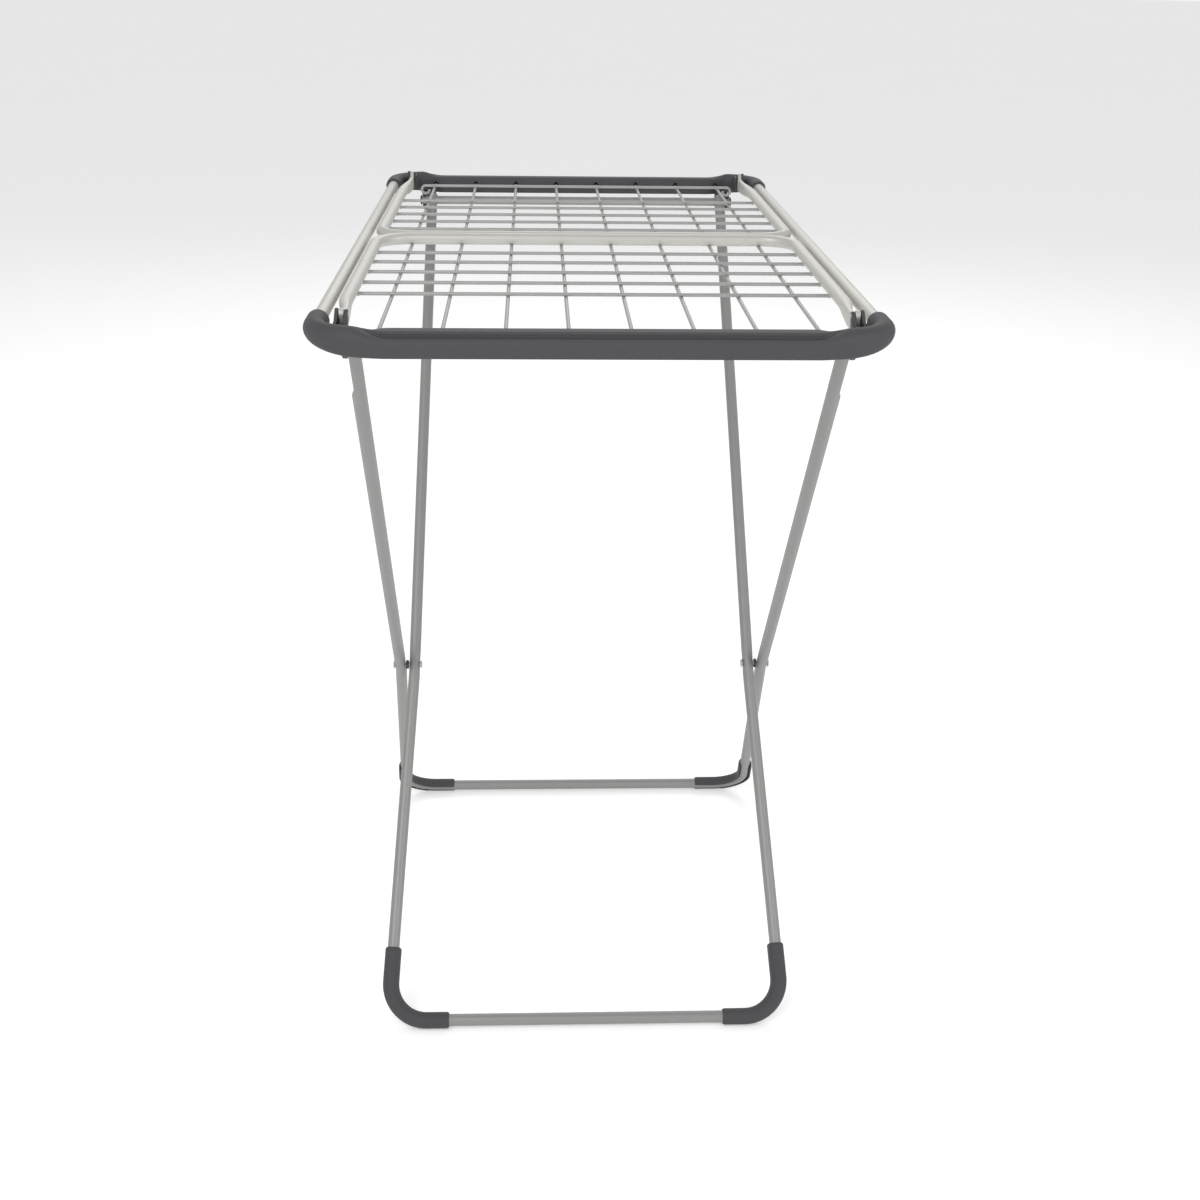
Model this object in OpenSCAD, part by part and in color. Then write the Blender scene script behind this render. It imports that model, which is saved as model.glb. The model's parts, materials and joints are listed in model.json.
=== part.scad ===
// Winged clothes drying rack on crossed folding legs.
// X runs across the rack, Y along it, Z up; the origin is on the floor under its middle.

/* [Table] */
// Overall length of the table, over both end mouldings
table_length = 1060; // [980:5:1240]
// Distance between the two long side tubes, centre to centre
side_tube_span = 537; // [520:1:600]
// Height of the side tube centres above the floor
side_tube_height = 930; // [900:5:1000]
// Diameter of the side tubes and of the wing frames
rail_d = 14; // [12:0.5:15]
// Wall of the side tubes and wing frames
rail_wall = 1; // [0.8:0.1:1.5]

/* [Wires] */
// Number of long wires
long_wire_count = 8; // [6:1:8]
// Spacing of the long wires
long_wire_pitch = 60; // [50:1:60]
// Diameter of every wire
wire_d = 4; // [3:0.1:4.5]
// Number of cross wires on each wing
wing_wire_count = 5; // [3:1:5]
// Spacing of the wing wires
wing_wire_pitch = 58; // [50:1:62]
// Distance from the wing's end bar to its first wire
wing_wire_start = 74; // [50:1:80]

/* [End mouldings] */
// Outer radius of the corner in plan
corner_radius = 60; // [45:1:60]
// Diameter of the collar that holds a side tube
collar_d = 22; // [20:0.5:24]
// Length of the collar past the corner
collar_length = 26; // [16:1:40]
// Depth of the end moulding along the rack
end_depth = 30; // [26:1:36]
// Height of the end moulding between its corners
end_height = 23; // [20:1:26]
// Height of the flat band on the outer face
band_height = 17.5; // [12:0.5:19]
// Wall of the end moulding
end_wall = 2.6; // [2:0.1:3.5]

/* [Wings] */
// Distance between the wing's side tubes, centre to centre
wing_span = 501; // [490:1:502]
// Bend radius of the wing's corners
wing_corner_radius = 40; // [25:1:60]
// Gap between the two wings where they meet
wing_gap = 1.2; // [0.6:0.1:6]
// Distance of the wing hinge pin from the table's end
wing_pin_inset = 58; // [54:1:70]
// Thickness of the flattened end of a wing tube
blade_thickness = 5; // [4:0.2:6]
// Height of the flattened end of a wing tube
blade_height = 17; // [14:0.5:17]

/* [Legs] */
// Diameter of the leg tubes
leg_d = 15; // [13:0.5:16]
// Wall of the leg tubes
leg_wall = 1; // [0.8:0.1:1.6]
// Height of the crossing pivot above the floor
pivot_height = 363; // [330:1:390]
// Half the distance between the two foot bars
foot_reach = 302; // [280:1:330]
// Half width of the outer legs at the foot, centre line
outer_foot_x = 270; // [266:1:290]
// Half width of the outer legs at the pivot
outer_pivot_x = 244; // [243:0.5:246]
// Half width of the outer legs at the top
outer_top_x = 235; // [234:0.5:236]
// Half width of the inner legs at the foot
inner_foot_x = 249; // [240:1:249]
// Half width of the inner legs at the pivot
inner_pivot_x = 225; // [220:0.5:225]
// Half width of the inner legs at the top
inner_top_x = 214; // [208:0.5:214]
// Bend radius at the foot corners
foot_bend_radius = 46; // [35:1:60]
// Height of the top hinge of the outer legs above the floor
leg_hinge_height = 907; // [890:1:907]
// Diameter of the inner legs' top bar
top_bar_d = 12; // [10:0.5:13]

/* [Feet] */
// Wall of the plastic foot clip
clip_wall = 2.6; // [2:0.1:3.5]
// Length of the clip along the foot bar, past the bend
clip_bar_length = 28; // [15:1:60]
// Length of the clip up the leg, past the bend
clip_leg_length = 42; // [15:1:70]

/* [Hidden] */
$fn = 48;

eps = 0.01;
foot_flat = 0.1;
run_gap = 0.06;
side_gap = 0.4;
clip_gap = 0.1;
clip_end_grow = 0.15;

// Table levels
wire_z = side_tube_height - 5.6;
cross_z = wire_z + wire_d;
end_top_z = side_tube_height + 6;
end_low_z = end_top_z - end_height;
half_length = table_length / 2;
side_x = side_tube_span / 2;
bend_r = corner_radius - collar_d / 2;
bend_y = half_length - corner_radius;
bend_x = side_x - bend_r;
inner_face_y = half_length - end_depth;
collar_end_y = bend_y - collar_length;
tube_seat = 24;
band_setback = 12;
channel_reach = bend_x + 2;
elbow_root_y = half_length - 18;

// Wing levels
wing_x = wing_span / 2;
wing_z = wire_z + wire_d / 2 + rail_d / 2 + 0.1;
wing_wire_z = cross_z + 0.1;
pin_y = half_length - wing_pin_inset;
pin_z = end_top_z + 6.2;
wing_bar_y = rail_d / 2 + wing_gap / 2;
blade_x = wing_x - 7.5;
blade_run = 26;
blade_taper = 88;
blade_nose = 11;
wing_pin_d = 4;
cheek_t = 3.2;
cheek_low_z = end_low_z + 7;

// Leg frames: each lies in a plane that leans from the pivot axis
foot_bar_z = leg_d / 2 + clip_wall - foot_flat;
lean = atan(foot_reach / (pivot_height - foot_bar_z));
foot_s = (pivot_height - foot_bar_z) / cos(lean);
hinge_s = (leg_hinge_height - pivot_height) / cos(lean);
hinge_y = hinge_s * sin(lean);
kink_drop = 14;
kink_swell = 0.3;
kink_swell_run = 5;
seam_run = 0.5;
seam_proud = 0.05;
top_margin = 8;
flat_run = 72;
flat_t = 11.5;
leg_pin_d = 6;
rivet_d = 6;
rivet_head_d = 11;
rivet_head_t = 2.4;
lug_t = 5;
lug_gap = 0.5;
lug_x = outer_top_x - leg_d / 2 + flat_t + lug_gap;
hook_w = 6;
hook_x = inner_top_x + leg_d / 2 + hook_w / 2 + 0.5;
hook_wall = 3;
hook_gap = 0.5;
hook_root_run = 10;
bar_reach = hook_x + hook_w / 2 + 1;

plastic = [0.2, 0.2, 0.21];
rail_grey = [0.7, 0.69, 0.67];
wire_grey = [0.56, 0.56, 0.55];
leg_grey = [0.5, 0.5, 0.5];
steel = [0.62, 0.62, 0.62];

// ---- Bent tubes: a path of points in a plane, each inner point with a bend radius ----

function unit(v) = v / norm(v);
function turn(a, b, c) = let (u = unit(b - a), v = unit(c - b)) atan2(u[0] * v[1] - u[1] * v[0], u * v);
function setback(a, b, c, r) = r * tan(abs(turn(a, b, c)) / 2);

// Points of an arc, for outlines that need no true curve
function arc(centre, r, from, to, steps) = [
    for (i = [0:steps]) let (t = from + (to - from) * i / steps) centre + r * [cos(t), sin(t)]
];

// Straight round bar between two points
module run(p, q, r) {
    d = unit(q - p);
    translate([p[0], p[1], 0])
        rotate([0, 0, atan2(d[1], d[0])])
            rotate([0, 90, 0])
                cylinder(h = norm(q - p), r = r);
}

// Bend at b between the runs a-b and b-c
module bend(a, b, c, radius) {
    u = unit(b - a);
    v = unit(c - b);
    angle = turn(a, b, c);
    side = sign(angle);
    cut = setback(a, b, c, radius);
    centre = b - u * cut + side * radius * [-u[1], u[0]];
    first = side > 0 ? b - u * cut - centre : b + v * cut - centre;
    translate([centre[0], centre[1], 0])
        rotate([0, 0, atan2(first[1], first[0])])
            rotate_extrude(angle = abs(angle))
                translate([radius, 0])
                    children();
}

// Half of a wing's U: straight run, corner, and the end bar as far as the middle
module half_u(start, corner, middle, radius, r) {
    u = unit(corner - start);
    v = unit(middle - corner);
    cut = setback(start, corner, middle, radius);
    run(start, corner - u * cut, r);
    bend(start, corner, middle, radius) circle(r = r);
}

module u_bar(start, corner, radius, r) {
    cut = radius;
    for (side = [-1, 1])
        left_right(side)
            half_u(start, corner, [0, corner[1]], radius, r);
    run([-corner[0] + cut, corner[1]], [corner[0] - cut, corner[1]], r);
}

// Stands a flat path up: its second axis becomes +Z, leaned about the pivot
module lean_frame(angle) {
    translate([0, 0, pivot_height])
        rotate([angle, 0, 0])
            rotate([90, 0, 0])
                children();
}

// Cylinder along X between two x values
module x_pin(x0, x1, d, y, z) {
    translate([min(x0, x1), y, z])
        rotate([0, 90, 0])
            cylinder(h = abs(x1 - x0), r = d / 2);
}

module left_right(side) {
    if (side < 0) mirror([1, 0, 0]) children();
    else children();
}

// End "near" is at -Y; the far end is its mirror image
module at_end(end) {
    if (end < 0) mirror([0, 1, 0]) children();
    else children();
}

// ---- End mouldings, written for the +Y end ----

module corner_elbow() {
    translate([bend_x, bend_y, side_tube_height])
        rotate_extrude(angle = 90)
            translate([bend_r, 0])
                circle(r = collar_d / 2);
    translate([side_x, collar_end_y, side_tube_height])
        rotate([-90, 0, 0])
            rotate_extrude()
                polygon([
                    [rail_d / 2, 0], [collar_d / 2, 0], [collar_d / 2, collar_length],
                    [0, collar_length], [0, tube_seat], [rail_d / 2, tube_seat]
                ]);
}

// Channel between the corners: a flat outer band and a taller inner strip, rounded at their edges
module end_channel() {
    band_top = end_low_z + band_height;
    strip_y = half_length - band_setback;
    outer_r = 4;
    strip_r = 2;
    rotate([90, 0, 90])
        translate([0, 0, -channel_reach])
            linear_extrude(height = 2 * channel_reach)
                polygon(concat(
                    [[inner_face_y, end_low_z]],
                    arc([half_length - outer_r, end_low_z + outer_r], outer_r, -90, 0, 4),
                    arc([half_length - outer_r, band_top - outer_r], outer_r, 0, 90, 4),
                    [[strip_y, band_top]],
                    arc([strip_y - strip_r, end_top_z - strip_r], strip_r, 0, 90, 3),
                    arc([inner_face_y + strip_r, end_top_z - strip_r], strip_r, 90, 180, 3)
                ));
}

module channel_hollow() {
    reach = channel_reach - 8;
    band_top = end_low_z + band_height;
    strip_y = half_length - band_setback;
    translate([-reach, inner_face_y + end_wall, end_low_z - 1])
        cube([2 * reach, end_depth - 2 * end_wall, band_height - end_wall + 1]);
    translate([-reach, inner_face_y + end_wall, end_low_z])
        cube([2 * reach, strip_y - inner_face_y - 2 * end_wall, end_height - end_wall]);
}

// Clevis that holds the flattened end of a wing tube
module wing_bracket() {
    inner = blade_x - blade_thickness / 2 - side_gap;
    outer = blade_x + blade_thickness / 2 + side_gap;
    for (cheek = [[inner - cheek_t, 4], [outer, 5.5]]) {
        x = cheek[0];
        r = cheek[1];
        difference() {
            translate([x, 0, 0])
                rotate([90, 0, 90])
                    linear_extrude(height = cheek_t)
                        polygon(concat(
                            [[elbow_root_y, end_low_z + 8], [pin_y + 4, cheek_low_z]],
                            arc([pin_y, pin_z], r, 225, 60, 6),
                            [[pin_y + 16, end_top_z + 1], [elbow_root_y, end_top_z - 1]]
                        ));
            x_pin(x - 1, x + cheek_t + 1, wing_pin_d, pin_y, pin_z);
        }
    }
}

module end_body() {
    difference() {
        union() {
            end_channel();
            for (side = [-1, 1])
                left_right(side) {
                    corner_elbow();
                    wing_bracket();
                }
        }
        channel_hollow();
        for (i = [0:long_wire_count - 1])
            translate([wire_x(i), inner_face_y - 1, wire_z])
                rotate([-90, 0, 0])
                    cylinder(h = end_wall + 2, r = wire_d / 2);
    }
}

function wire_x(i) = (i - (long_wire_count - 1) / 2) * long_wire_pitch;

// Lug under the near end that carries an outer leg's top hinge
module leg_lug() {
    difference() {
        translate([lug_x, 0, 0])
            rotate([90, 0, 90])
                linear_extrude(height = lug_t)
                    polygon(concat(
                        [[elbow_root_y, end_low_z + 20], [elbow_root_y, end_low_z + 8]],
                        arc([hinge_y, leg_hinge_height], 9, 290, 100, 8)
                    ));
        x_pin(lug_x - 1, lug_x + lug_t + 1, leg_pin_d, hinge_y, leg_hinge_height);
    }
}

// Hook under the far end that the inner legs' top bar rests in, open towards the middle
module bar_hook() {
    r = top_bar_d / 2 + hook_gap;
    low = leg_hinge_height - r - hook_wall;
    top = leg_hinge_height + r + hook_wall;
    front = hinge_y - 3;
    wall_y = inner_face_y + end_wall;
    translate([hook_x - hook_w / 2, 0, 0])
        difference() {
            union() {
                translate([0, front, low])
                    cube([hook_w, wall_y - front, top - low]);
                translate([-2 * hook_w, wall_y - hook_root_run, end_low_z - 8])
                    cube([3 * hook_w, hook_root_run, top - end_low_z + 8]);
            }
            translate([-1, front - 1, leg_hinge_height - r])
                cube([hook_w + 2, hinge_y - front + 1, 2 * r]);
            x_pin(-1, hook_w + 1, 2 * r, hinge_y, leg_hinge_height);
        }
}

module near_end_moulding() {
    color(plastic)
        at_end(-1) {
            end_body();
            for (side = [-1, 1])
                left_right(side) leg_lug();
        }
}

module far_end_moulding() {
    color(plastic)
        at_end(1) {
            end_body();
            for (side = [-1, 1])
                left_right(side) bar_hook();
        }
}

// ---- Table rails and wires ----

module side_tube(side) {
    reach = collar_end_y + tube_seat;
    color(rail_grey)
        translate([side * side_x, -reach, side_tube_height])
            rotate([-90, 0, 0])
                difference() {
                    cylinder(h = 2 * reach, r = rail_d / 2);
                    translate([0, 0, -1])
                        cylinder(h = 2 * reach + 2, r = rail_d / 2 - rail_wall);
                }
}

module long_wires() {
    reach = inner_face_y + end_wall;
    color(wire_grey)
        for (i = [0:long_wire_count - 1])
            translate([wire_x(i), -reach, wire_z])
                rotate([-90, 0, 0])
                    cylinder(h = 2 * reach, r = wire_d / 2);
}

// Cross wire over the long wires, each end turned down into an eye
module far_cross_wire() {
    y = inner_face_y - 40;
    edge = wire_x(long_wire_count - 1);
    eye_r = 5.5;
    eye_x = edge + 13;
    color(wire_grey) {
        x_pin(-eye_x, eye_x, wire_d, y, cross_z);
        for (side = [-1, 1])
            left_right(side)
                translate([eye_x, y, cross_z - eye_r])
                    rotate([90, 0, 0])
                        rotate([0, 0, -180])
                            rotate_extrude(angle = 270)
                                translate([eye_r, 0])
                                    circle(r = wire_d / 2);
    }
}

// ---- Wings ----

module wing_frame_shape() {
    start = [wing_x, pin_y - blade_run - blade_taper];
    corner = [wing_x, wing_bar_y];
    difference() {
        union() {
            translate([0, 0, wing_z])
                difference() {
                    u_bar(start, corner, wing_corner_radius, rail_d / 2);
                    u_bar(start + [0, 1], corner, wing_corner_radius, rail_d / 2 - rail_wall);
                }
            for (side = [-1, 1])
                left_right(side) blade();
        }
        for (side = [-1, 1])
            left_right(side)
                x_pin(blade_x - 6, blade_x + 6, wing_pin_d + 2 * run_gap, pin_y, pin_z);
    }
}

// Flattened tube end: a blade inboard of the tube's line, with its nose round the pin
module blade() {
    low = wing_z - blade_height / 2;
    inner = blade_x - blade_thickness / 2;
    translate([inner, pin_y - blade_run, low])
        cube([blade_thickness, blade_run - 1, blade_height]);
    translate([inner, pin_y - 1 - eps, low + 3])
        cube([blade_thickness, 3, pin_z - low - 3]);
    x_pin(inner, inner + blade_thickness, blade_nose, pin_y, pin_z);
    hull() {
        translate([inner, pin_y - blade_run, low])
            cube([blade_thickness, eps, blade_height]);
        translate([wing_x, pin_y - blade_run - blade_taper, wing_z])
            rotate([-90, 0, 0])
                cylinder(h = eps, r = rail_d / 2, $fn = 32);
    }
}

module wing_wires_shape() {
    drop = wing_z - wing_wire_z - wire_d / 2;
    reach = wing_x - sqrt(pow(rail_d / 2, 2) - pow(drop, 2));
    for (i = [0:wing_wire_count - 1])
        x_pin(-reach, reach, wire_d, wing_bar_y + wing_wire_start + i * wing_wire_pitch, wing_wire_z);
}

module wing_frame(end) { color(rail_grey) at_end(end) wing_frame_shape(); }

module wing_wires(end) { color(wire_grey) at_end(end) wing_wires_shape(); }

module wing_pin(end, side) {
    half = blade_thickness / 2 + side_gap + cheek_t;
    color(steel)
        x_pin(side * blade_x - half, side * blade_x + half, wing_pin_d, end * pin_y, pin_z);
}

// ---- Legs, each drawn flat with the pivot at its origin ----

// Widens evenly from the top to a kink just under the pivot, then more to the foot
function leg_x(top_x, pivot_x, s) = pivot_x + (top_x - pivot_x) * s / hinge_s;

function leg_top(top_x, pivot_x, s) = [leg_x(top_x, pivot_x, s), s];

// Short ring over the seam between two runs of a bent tube
module seam(p, d, r) {
    run(p - seam_run * d, p + seam_run * d, r + seam_proud);
}

// Lower half of a leg frame: from a point under the pivot round the foot to the other side
module leg_loop(kink, foot_x, from, r) {
    corner = [foot_x, -foot_s];
    middle = [0, -foot_s];
    v = unit(corner - kink);
    cut = setback(kink, corner, middle, foot_bend_radius);
    for (side = [-1, 1])
        left_right(side) {
            run(kink + from * v, corner - cut * v, r);
            seam(corner - cut * v, v, r);
            bend(kink, corner, middle, foot_bend_radius) circle(r = r);
            seam([foot_x - cut, -foot_s], [1, 0], r);
        }
    run([-foot_x + cut, -foot_s], [foot_x - cut, -foot_s], r);
}

// Leg frame in one tube: solid round the pivot and, by the length of plug, at its closed top
module leg_shape(top_x, pivot_x, foot_x, plug) {
    top_s = hinge_s + top_margin;
    kink = leg_top(top_x, pivot_x, -kink_drop);
    u = unit(kink - leg_top(top_x, pivot_x, top_s));
    w = unit(u + unit([foot_x, -foot_s] - kink));
    difference() {
        union() {
            for (side = [-1, 1])
                left_right(side) {
                    run(leg_top(top_x, pivot_x, top_s), kink + u, leg_d / 2);
                    run(kink - kink_swell_run * w, kink + kink_swell_run * w, leg_d / 2 + kink_swell);
                }
            leg_loop(kink, foot_x, -1, leg_d / 2);
        }
        leg_loop(kink, foot_x, kink_drop, leg_d / 2 - leg_wall);
        for (side = [-1, 1])
            left_right(side) {
                run(leg_top(top_x, pivot_x, top_s - plug), leg_top(top_x, pivot_x, kink_drop),
                    leg_d / 2 - leg_wall);
                cross_hole(pivot_x, 0, rivet_d / 2 + run_gap);
            }
    }
}

// Hole across a leg at height s above the pivot
module cross_hole(x, s, r) {
    translate([x - leg_d, s, 0])
        rotate([0, 90, 0])
            cylinder(h = 2 * leg_d, r = r);
}

module outer_leg_tube() {
    color(leg_grey)
        lean_frame(lean)
            difference() {
                leg_shape(outer_top_x, outer_pivot_x, outer_foot_x, flat_run + top_margin);
                for (side = [-1, 1])
                    left_right(side) {
                        translate([outer_top_x - leg_d / 2 + flat_t, hinge_s - flat_run, -leg_d])
                            cube([leg_d, flat_run + top_margin + 5, 2 * leg_d]);
                        cross_hole(outer_top_x, hinge_s, leg_pin_d / 2 + run_gap);
                    }
            }
}

module inner_leg_tube() {
    color(leg_grey)
        lean_frame(-lean)
            difference() {
                leg_shape(inner_top_x, inner_pivot_x, inner_foot_x, 2 * top_margin);
                for (side = [-1, 1])
                    left_right(side)
                        cross_hole(inner_top_x, hinge_s, top_bar_d / 2);
            }
}

module inner_leg_top_bar() {
    color(leg_grey)
        difference() {
            x_pin(-bar_reach, bar_reach, top_bar_d, hinge_y, leg_hinge_height);
            x_pin(-bar_reach - 1, bar_reach + 1, top_bar_d - 2 * leg_wall, hinge_y, leg_hinge_height);
        }
}

// Plastic plug in the end of the top bar, with a round head
module bar_cap(side) {
    color(plastic)
        left_right(side) {
            x_pin(bar_reach, bar_reach + 2.5, top_bar_d + 2, hinge_y, leg_hinge_height);
            x_pin(bar_reach - 12, bar_reach, top_bar_d - 2 * leg_wall, hinge_y, leg_hinge_height);
        }
}

module leg_hinge_pin(side) {
    inner = outer_top_x - leg_d / 2;
    color(steel)
        left_right(side) {
            x_pin(inner - side_gap, lug_x + lug_t, leg_pin_d, -hinge_y, leg_hinge_height);
            x_pin(inner - side_gap - 2, inner - side_gap, 9, -hinge_y, leg_hinge_height);
        }
}

// Rivet through both legs at the crossing, headed on both sides
module pivot_rivet(side) {
    inner = inner_pivot_x - leg_d / 2 - side_gap;
    outer = outer_pivot_x + leg_d / 2;
    color(steel)
        left_right(side) {
            x_pin(inner, outer, rivet_d, 0, pivot_height);
            x_pin(inner - rivet_head_t, inner, rivet_head_d, 0, pivot_height);
            x_pin(outer, outer + rivet_head_t, rivet_head_d, 0, pivot_height);
        }
}

module pivot_spacer(side) {
    inner = inner_pivot_x + leg_d / 2 + side_gap;
    outer = outer_pivot_x - leg_d / 2;
    color(plastic)
        left_right(side)
            difference() {
                x_pin(inner, outer, 12, 0, pivot_height);
                x_pin(inner - 1, outer + 1, rivet_d, 0, pivot_height);
            }
}

// ---- Foot clips: a channel round the foot corner, open towards the rack's middle ----

module clip_profile(grow) {
    outer_r = leg_d / 2 + clip_wall + grow;
    inner_r = leg_d / 2 + clip_gap + grow / 2;
    lip = leg_d / 2 - 1 + grow;
    polygon(concat(
        [[outer_r, lip]],
        arc([0, 0], outer_r, 0, -180, 14),
        [[-outer_r, lip], [-inner_r, lip]],
        arc([0, 0], inner_r, -180, 0, 14),
        [[inner_r, lip]]
    ));
}

// Drawn in the leg's own plane; the opening faces out of it
module clip_shape(foot_x, top_x, pivot_x) {
    kink = leg_top(top_x, pivot_x, -kink_drop);
    corner = [foot_x, -foot_s];
    middle = [0, -foot_s];
    u = unit(corner - kink);
    v = unit(middle - corner);
    cut = setback(kink, corner, middle, foot_bend_radius);
    bend(kink, corner, middle, foot_bend_radius) clip_profile(0);
    clip_run(corner - u * (cut + clip_leg_length), u, clip_leg_length + seam_run);
    clip_run(corner + v * (cut - seam_run), v, clip_bar_length + seam_run);
}

module clip_run(start, d, length) {
    translate([start[0], start[1], 0])
        rotate([0, 0, atan2(d[1], d[0])])
            rotate([90, 0, 90])
                linear_extrude(height = length)
                    clip_profile(clip_end_grow);
}

module foot_clip(end, side) {
    color(plastic)
        difference() {
            left_right(side)
                if (end < 0)
                    lean_frame(-lean)
                        mirror([0, 0, 1])
                            clip_shape(inner_foot_x, inner_top_x, inner_pivot_x);
                else
                    lean_frame(lean)
                        clip_shape(outer_foot_x, outer_top_x, outer_pivot_x);
            floor_cut();
        }
}

// Leaves the narrow flat that a clip stands on
module floor_cut() {
    translate([-side_x, -half_length, -collar_d])
        cube([2 * side_x, 2 * half_length, collar_d]);
}

near_end_moulding();
far_end_moulding();
side_tube(-1);  // left_side_tube
side_tube(1);  // right_side_tube
long_wires();
far_cross_wire();
wing_frame(-1);  // near_wing_frame
wing_wires(-1);  // near_wing_wires
wing_frame(1);  // far_wing_frame
wing_wires(1);  // far_wing_wires
wing_pin(-1, -1);  // near_left_wing_pin
wing_pin(-1, 1);  // near_right_wing_pin
wing_pin(1, -1);  // far_left_wing_pin
wing_pin(1, 1);  // far_right_wing_pin
leg_hinge_pin(-1);  // left_leg_hinge_pin
leg_hinge_pin(1);  // right_leg_hinge_pin
outer_leg_tube();
inner_leg_tube();
inner_leg_top_bar();
bar_cap(-1);  // left_bar_cap
bar_cap(1);  // right_bar_cap
pivot_rivet(-1);  // left_pivot_rivet
pivot_rivet(1);  // right_pivot_rivet
pivot_spacer(-1);  // left_pivot_spacer
pivot_spacer(1);  // right_pivot_spacer
foot_clip(-1, -1);  // near_left_foot_clip
foot_clip(-1, 1);  // near_right_foot_clip
foot_clip(1, -1);  // far_left_foot_clip
foot_clip(1, 1);  // far_right_foot_clip
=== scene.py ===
"""Winged clothes drying rack: the visual model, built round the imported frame.

Lengths are millimetres until a mesh is made. +X runs across the rack, +Y along it from the near end to the
far end, and +Z up from the floor.
"""

import json
import math

import bpy
import numpy as np
from bpy.props import FloatProperty, FloatVectorProperty, IntProperty, PointerProperty
from bpy.types import Operator, Panel, PropertyGroup
from mathutils import Matrix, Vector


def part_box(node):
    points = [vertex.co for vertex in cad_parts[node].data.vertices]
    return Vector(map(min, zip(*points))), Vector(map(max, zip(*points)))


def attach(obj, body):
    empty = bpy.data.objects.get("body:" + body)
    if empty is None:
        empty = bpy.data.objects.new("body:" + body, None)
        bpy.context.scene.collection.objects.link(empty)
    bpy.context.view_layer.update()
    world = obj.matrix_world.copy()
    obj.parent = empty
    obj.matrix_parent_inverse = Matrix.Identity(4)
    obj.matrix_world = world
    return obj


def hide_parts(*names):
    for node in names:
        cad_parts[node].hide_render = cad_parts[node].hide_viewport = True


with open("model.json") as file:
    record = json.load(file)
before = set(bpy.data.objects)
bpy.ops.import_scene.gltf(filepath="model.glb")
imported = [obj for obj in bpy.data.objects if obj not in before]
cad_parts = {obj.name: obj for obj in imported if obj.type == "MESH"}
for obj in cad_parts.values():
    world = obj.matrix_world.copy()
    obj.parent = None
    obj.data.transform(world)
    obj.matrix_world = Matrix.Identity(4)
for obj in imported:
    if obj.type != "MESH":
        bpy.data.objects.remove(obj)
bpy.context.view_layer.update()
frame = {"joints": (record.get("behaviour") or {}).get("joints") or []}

bl_info = {
    "name": "Winged Clothes Drying Rack",
    "version": (1, 0, 0),
    "blender": (4, 5, 0),
    "location": "View3D > Sidebar > Drying Rack",
    "description": "Builds a winged clothes drying rack round its working frame",
    "category": "Add Mesh",
}

MM = 0.001

# Millimetres
SAME_POINT = 0.02  # points nearer than this along a path count as one
ROOT_DEPTH = 18.0  # how far into the moulding a cheek or lug starts
SOCKET_LIFT = 1.4  # a wire socket's middle above its wire
SOCKET_RADII = (3.6, 1.0, 5.0)
CAP_THICKNESS = 2.5
HOOK_WIDTH = 6.0
HOOK_STRAP = 3.0
HOOK_CLEARANCE = 0.5
LUG_WIDTH = 5.0
LUG_RADIUS = 9.0
LEG_RUN_ON = 8.0  # length of a leg past its hinge
KINK_DROP = 14.0  # how far below the pivot a leg bends
CRUSHED_HALF = 4.0  # what is left of a crushed tube, from its middle to its flat side
CLIP_CLEARANCE = 0.12
SHANK_RADIUS = 3.0
RIVET_HEAD = 2.4
RIVET_HEAD_RADIUS = 5.5
HINGE_HEAD = 2.0
HINGE_HEAD_RADIUS = 4.5
SPACER_RADIUS = 6.0
CAP_RADIUS = 7.0
WING_PIN_RADIUS = 2.0

END_NAMES = {-1: "near", 1: "far"}
SIDE_NAMES = {-1: "left", 1: "right"}


def node_box(node):
    """Lowest and highest corner of a node of the frame, in millimetres."""
    low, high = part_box(node)
    return np.array(low) / MM, np.array(high) / MM


def joint_anchor(name):
    """Where a joint of the frame turns, in millimetres."""
    return np.array(next(j["pos_m"] for j in frame["joints"] if j["name"] == name)) / MM


RAIL_LOW, RAIL_HIGH = node_box("right_side_tube")
RAIL_CENTRE = (RAIL_LOW + RAIL_HIGH) / 2
WIRES_LOW, WIRES_HIGH = node_box("long_wires")
CROSS_LOW, CROSS_HIGH = node_box("far_cross_wire")
WING_LOW, WING_HIGH = node_box("far_wing_frame")
WING_WIRES_LOW, WING_WIRES_HIGH = node_box("far_wing_wires")
WING_PIN_LOW, WING_PIN_HIGH = node_box("far_right_wing_pin")
BAR_LOW, BAR_HIGH = node_box("inner_leg_top_bar")
CAP_END = node_box("right_bar_cap")[1][0]
LEG_PIN_LOW, LEG_PIN_HIGH = node_box("right_leg_hinge_pin")
RIVET_LOW, RIVET_HIGH = node_box("right_pivot_rivet")
SPACER_LOW, SPACER_HIGH = node_box("right_pivot_spacer")

HALF_LENGTH = node_box("far_end_moulding")[1][1]
SIDE_X = RAIL_CENTRE[0]
RAIL_Z = RAIL_CENTRE[2]
RAIL_R = (RAIL_HIGH[2] - RAIL_LOW[2]) / 2
WIRE_R = (WIRES_HIGH[2] - WIRES_LOW[2]) / 2
WIRE_Z = (WIRES_HIGH[2] + WIRES_LOW[2]) / 2
WING_PIN = joint_anchor("far_wing_fold")
LEG_PIN = joint_anchor("legs_fold")
PIVOT = joint_anchor("legs_cross")


# ---- Settings ----------------------------------------------------------------------------------------------


def length(name, description, default, low=0.1, high=2000.0):
    return FloatProperty(name=name, description=description, default=float(default), min=low, max=high)


def colour(name, description, default):
    return FloatVectorProperty(
        name=name, description=description, subtype="COLOR", size=3, default=default, min=0.0, max=1.0
    )


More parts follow.
